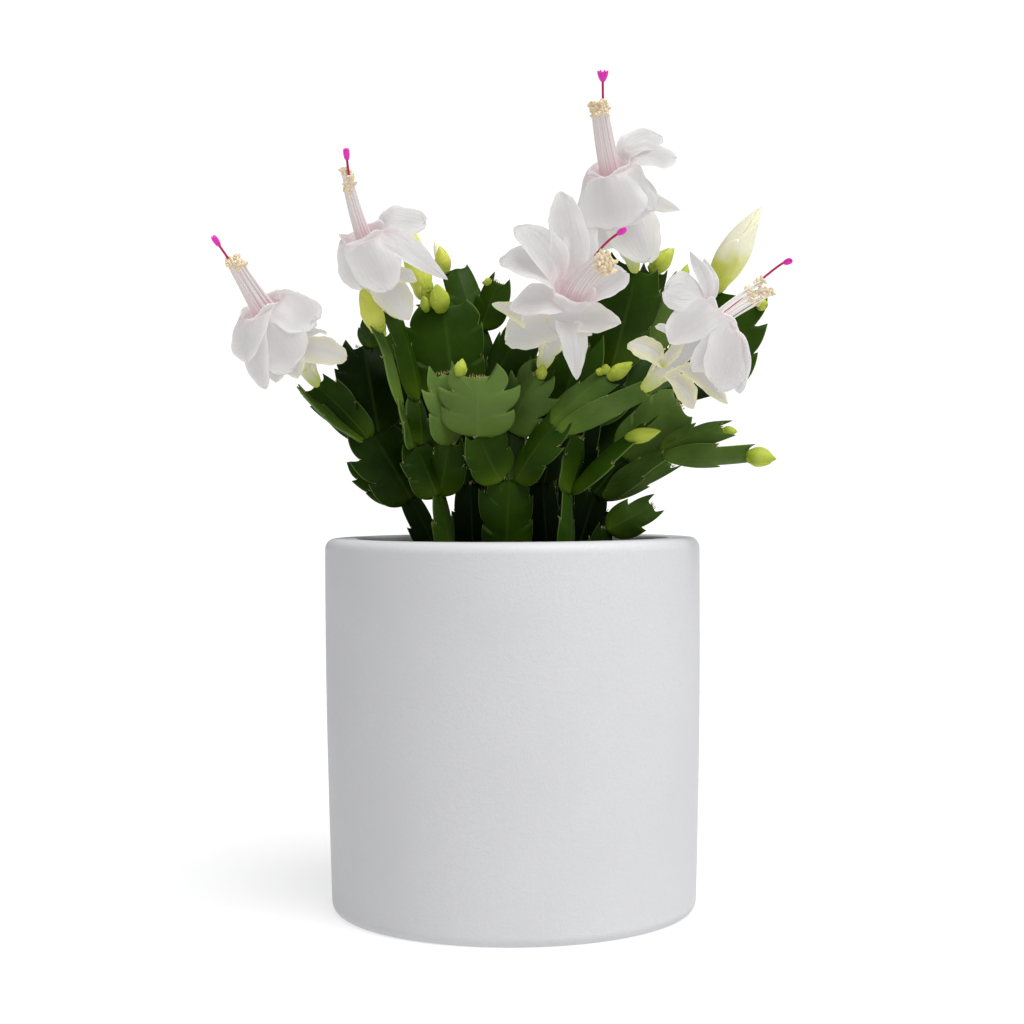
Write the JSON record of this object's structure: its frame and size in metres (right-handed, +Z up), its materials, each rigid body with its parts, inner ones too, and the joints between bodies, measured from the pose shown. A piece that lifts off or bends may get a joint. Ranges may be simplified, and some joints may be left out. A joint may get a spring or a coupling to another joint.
{
  "type": "potted christmas cactus",
  "caption": "Christmas cactus with flat toothed segments, fleshy buds and flared white flowers, in a plain round pot of soil.",
  "frame": {"origin": "centre of the pot's flat underside", "axes": "+Z up along the pot's axis, -Y towards the front of the plant"},
  "size_m": [0.2197, 0.1626, 0.33],
  "materials": {
    "pot": "matt white glaze with a very fine grain",
    "soil": "loose dark brown potting soil",
    "pad": "satin dark green succulent skin",
    "petal": "white with a pink throat, soft sheen",
    "stamen": "white threads with cream pollen",
    "pistil": "satin magenta",
    "bud": "glossy yellow green"
  },
  "bodies": {
    "root": {"pot": "pot", "soil": "soil", "stem_front": "pad", "stem_front_left": "pad", "stem_left": "pad", "stem_middle": "pad", "stem_right_back": "pad", "stem_right": "pad", "stem_right_front": "pad", "stem_right_low": "pad", "stem_inner": "pad", "stem_back_left": "pad", "stem_back_right": "pad", "stem_back": "pad", "bud_pale": "bud", "bud_left": "bud", "bud_middle": "bud", "bud_upper": "bud", "bud_mid_left": "bud", "bud_branch": "bud", "bud_fold": "bud", "bud_tip": "bud", "bud_top": "bud", "bud_back": "bud", "bud_back_right": "bud", "bloom_left_petals": "petal", "bloom_left_stamens": "stamen", "bloom_left_pistil": "pistil", "bloom_mid_left_petals": "petal", "bloom_mid_left_stamens": "stamen", "bloom_mid_left_pistil": "pistil", "bloom_centre_petals": "petal", "bloom_centre_stamens": "stamen", "bloom_centre_pistil": "pistil", "bloom_top_petals": "petal", "bloom_top_stamens": "stamen", "bloom_top_pistil": "pistil", "bloom_right_petals": "petal", "bloom_right_stamens": "stamen", "bloom_right_pistil": "pistil"}
  },
  "joints": []
}
